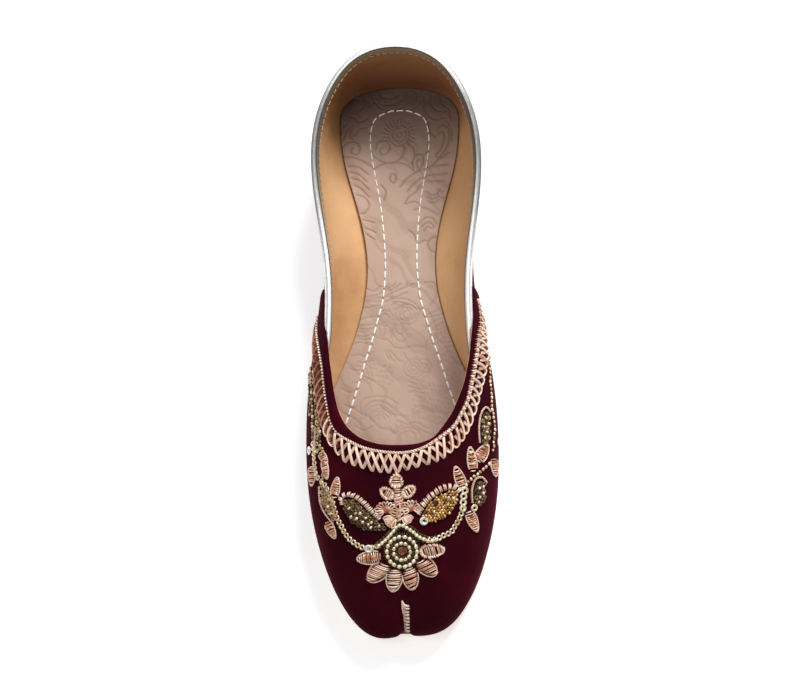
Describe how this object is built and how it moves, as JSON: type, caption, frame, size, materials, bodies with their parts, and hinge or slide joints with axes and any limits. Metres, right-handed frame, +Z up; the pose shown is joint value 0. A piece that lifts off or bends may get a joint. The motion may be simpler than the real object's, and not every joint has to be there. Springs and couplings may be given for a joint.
{
  "type": "mojari shoe",
  "caption": "Slip-on shoe with a deep U throat, an eared vamp over a low quarter, a folded topline binding, a notched toe and a thin sole on a heel lift.",
  "frame": {"origin": "middle of the heel lift's flat tread, on the floor", "axes": "+Z up, the toe points along -Y and the heel along +Y, +X to the wearer's left"},
  "size_m": [0.0814, 0.246, 0.053],
  "materials": {
    "lining_leather": "satin tan lining leather",
    "wine_velvet": "short-pile wine velvet",
    "silver_leather": "foiled silver leather",
    "rose_leather": "matt tooled leather",
    "sole_leather": "matt sole leather",
    "lift_leather": "matt sole leather",
    "rose_gold_thread": "shiny metallic thread",
    "white_thread": "waxed thread",
    "gold_bead": "glossy seed beads",
    "clear_sequin": "iridescent foil"
  },
  "bodies": {
    "root": {"upper": "lining_leather", "vamp": "wine_velvet", "topline_binding": "silver_leather", "insole": "rose_leather", "outsole": "sole_leather", "heel_lift": "lift_leather"}
  },
  "joints": []
}
